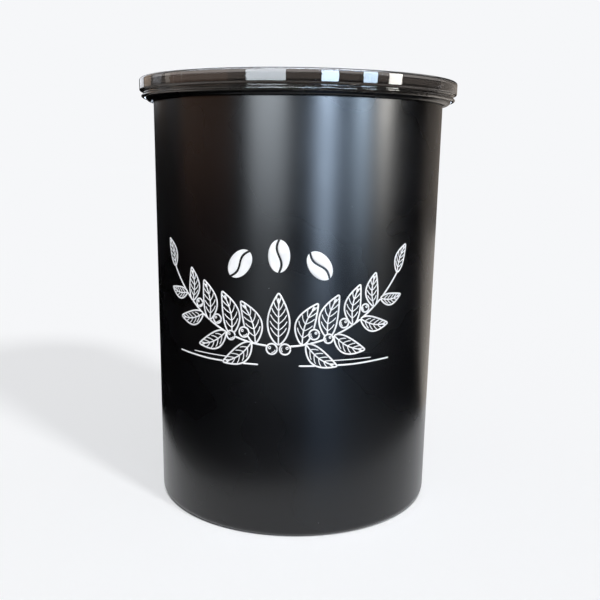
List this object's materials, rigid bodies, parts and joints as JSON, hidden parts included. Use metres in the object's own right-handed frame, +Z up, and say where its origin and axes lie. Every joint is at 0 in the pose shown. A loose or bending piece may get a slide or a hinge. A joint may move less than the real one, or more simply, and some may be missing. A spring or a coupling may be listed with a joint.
{
  "type": "coffee canister with valve",
  "caption": "Cylindrical coated steel canister with a see-through outer lid and a plunging inner lid whose fold-down handle works a vent valve.",
  "frame": {"origin": "centre of the standing ring, on the surface that the canister stands on", "axes": "+Z up along the canister's axis; the handle's hinge line runs along X; the folded handle lies towards -Y, which is also the side of the print"},
  "size_m": [0.1354, 0.1354, 0.1832],
  "materials": {
    "coated_steel": "satin black powder coat outside, bare brushed steel inside",
    "smoke_plastic": "smoke-tinted see-through gloss",
    "black_plastic": "fine satin",
    "gasket_rubber": "matt silicone",
    "handle_plastic": "fine satin",
    "bare_steel": "bright",
    "natural_plastic": "natural",
    "seal_rubber": "matt silicone",
    "white_ink": "screen print on the coat"
  },
  "bodies": {
    "canister": {"canister_shell": "coated_steel"},
    "outer_lid": {"outer_lid": "smoke_plastic"},
    "inner_lid": {"inner_lid_plate": "black_plastic", "wiper_gasket": "gasket_rubber", "hinge_pins": "bare_steel", "valve_guard": "black_plastic", "valve_spring": "bare_steel"},
    "handle": {"handle": "handle_plastic"},
    "valve": {"valve_stem": "natural_plastic", "valve_seal": "seal_rubber", "seal_retainer": "bare_steel"}
  },
  "joints": [
    {"name": "outer_lid_lift", "type": "slide", "parent": "canister", "child": "outer_lid", "axis": [0, 0, 1], "range_m": [0, 0.08]},
    {"name": "inner_lid_plunge", "type": "slide", "parent": "canister", "child": "inner_lid", "axis": [0, 0, 1], "range_m": [-0.1125, 0]},
    {"name": "handle_fold", "type": "hinge", "parent": "inner_lid", "child": "handle", "pos_m": [0, 0, 0.1361], "axis": [-1, 0, 0], "range_deg": [0, 90]},
    {"name": "valve_stroke", "type": "slide", "parent": "inner_lid", "child": "valve", "axis": [0, 0, -1], "range_m": [0, 0.00241], "deforming": ["valve_spring"]}
  ],
  "couplings": [
    {"joint": "valve_stroke", "follows": "handle_fold", "m_per_rad": 0.0015279}
  ]
}
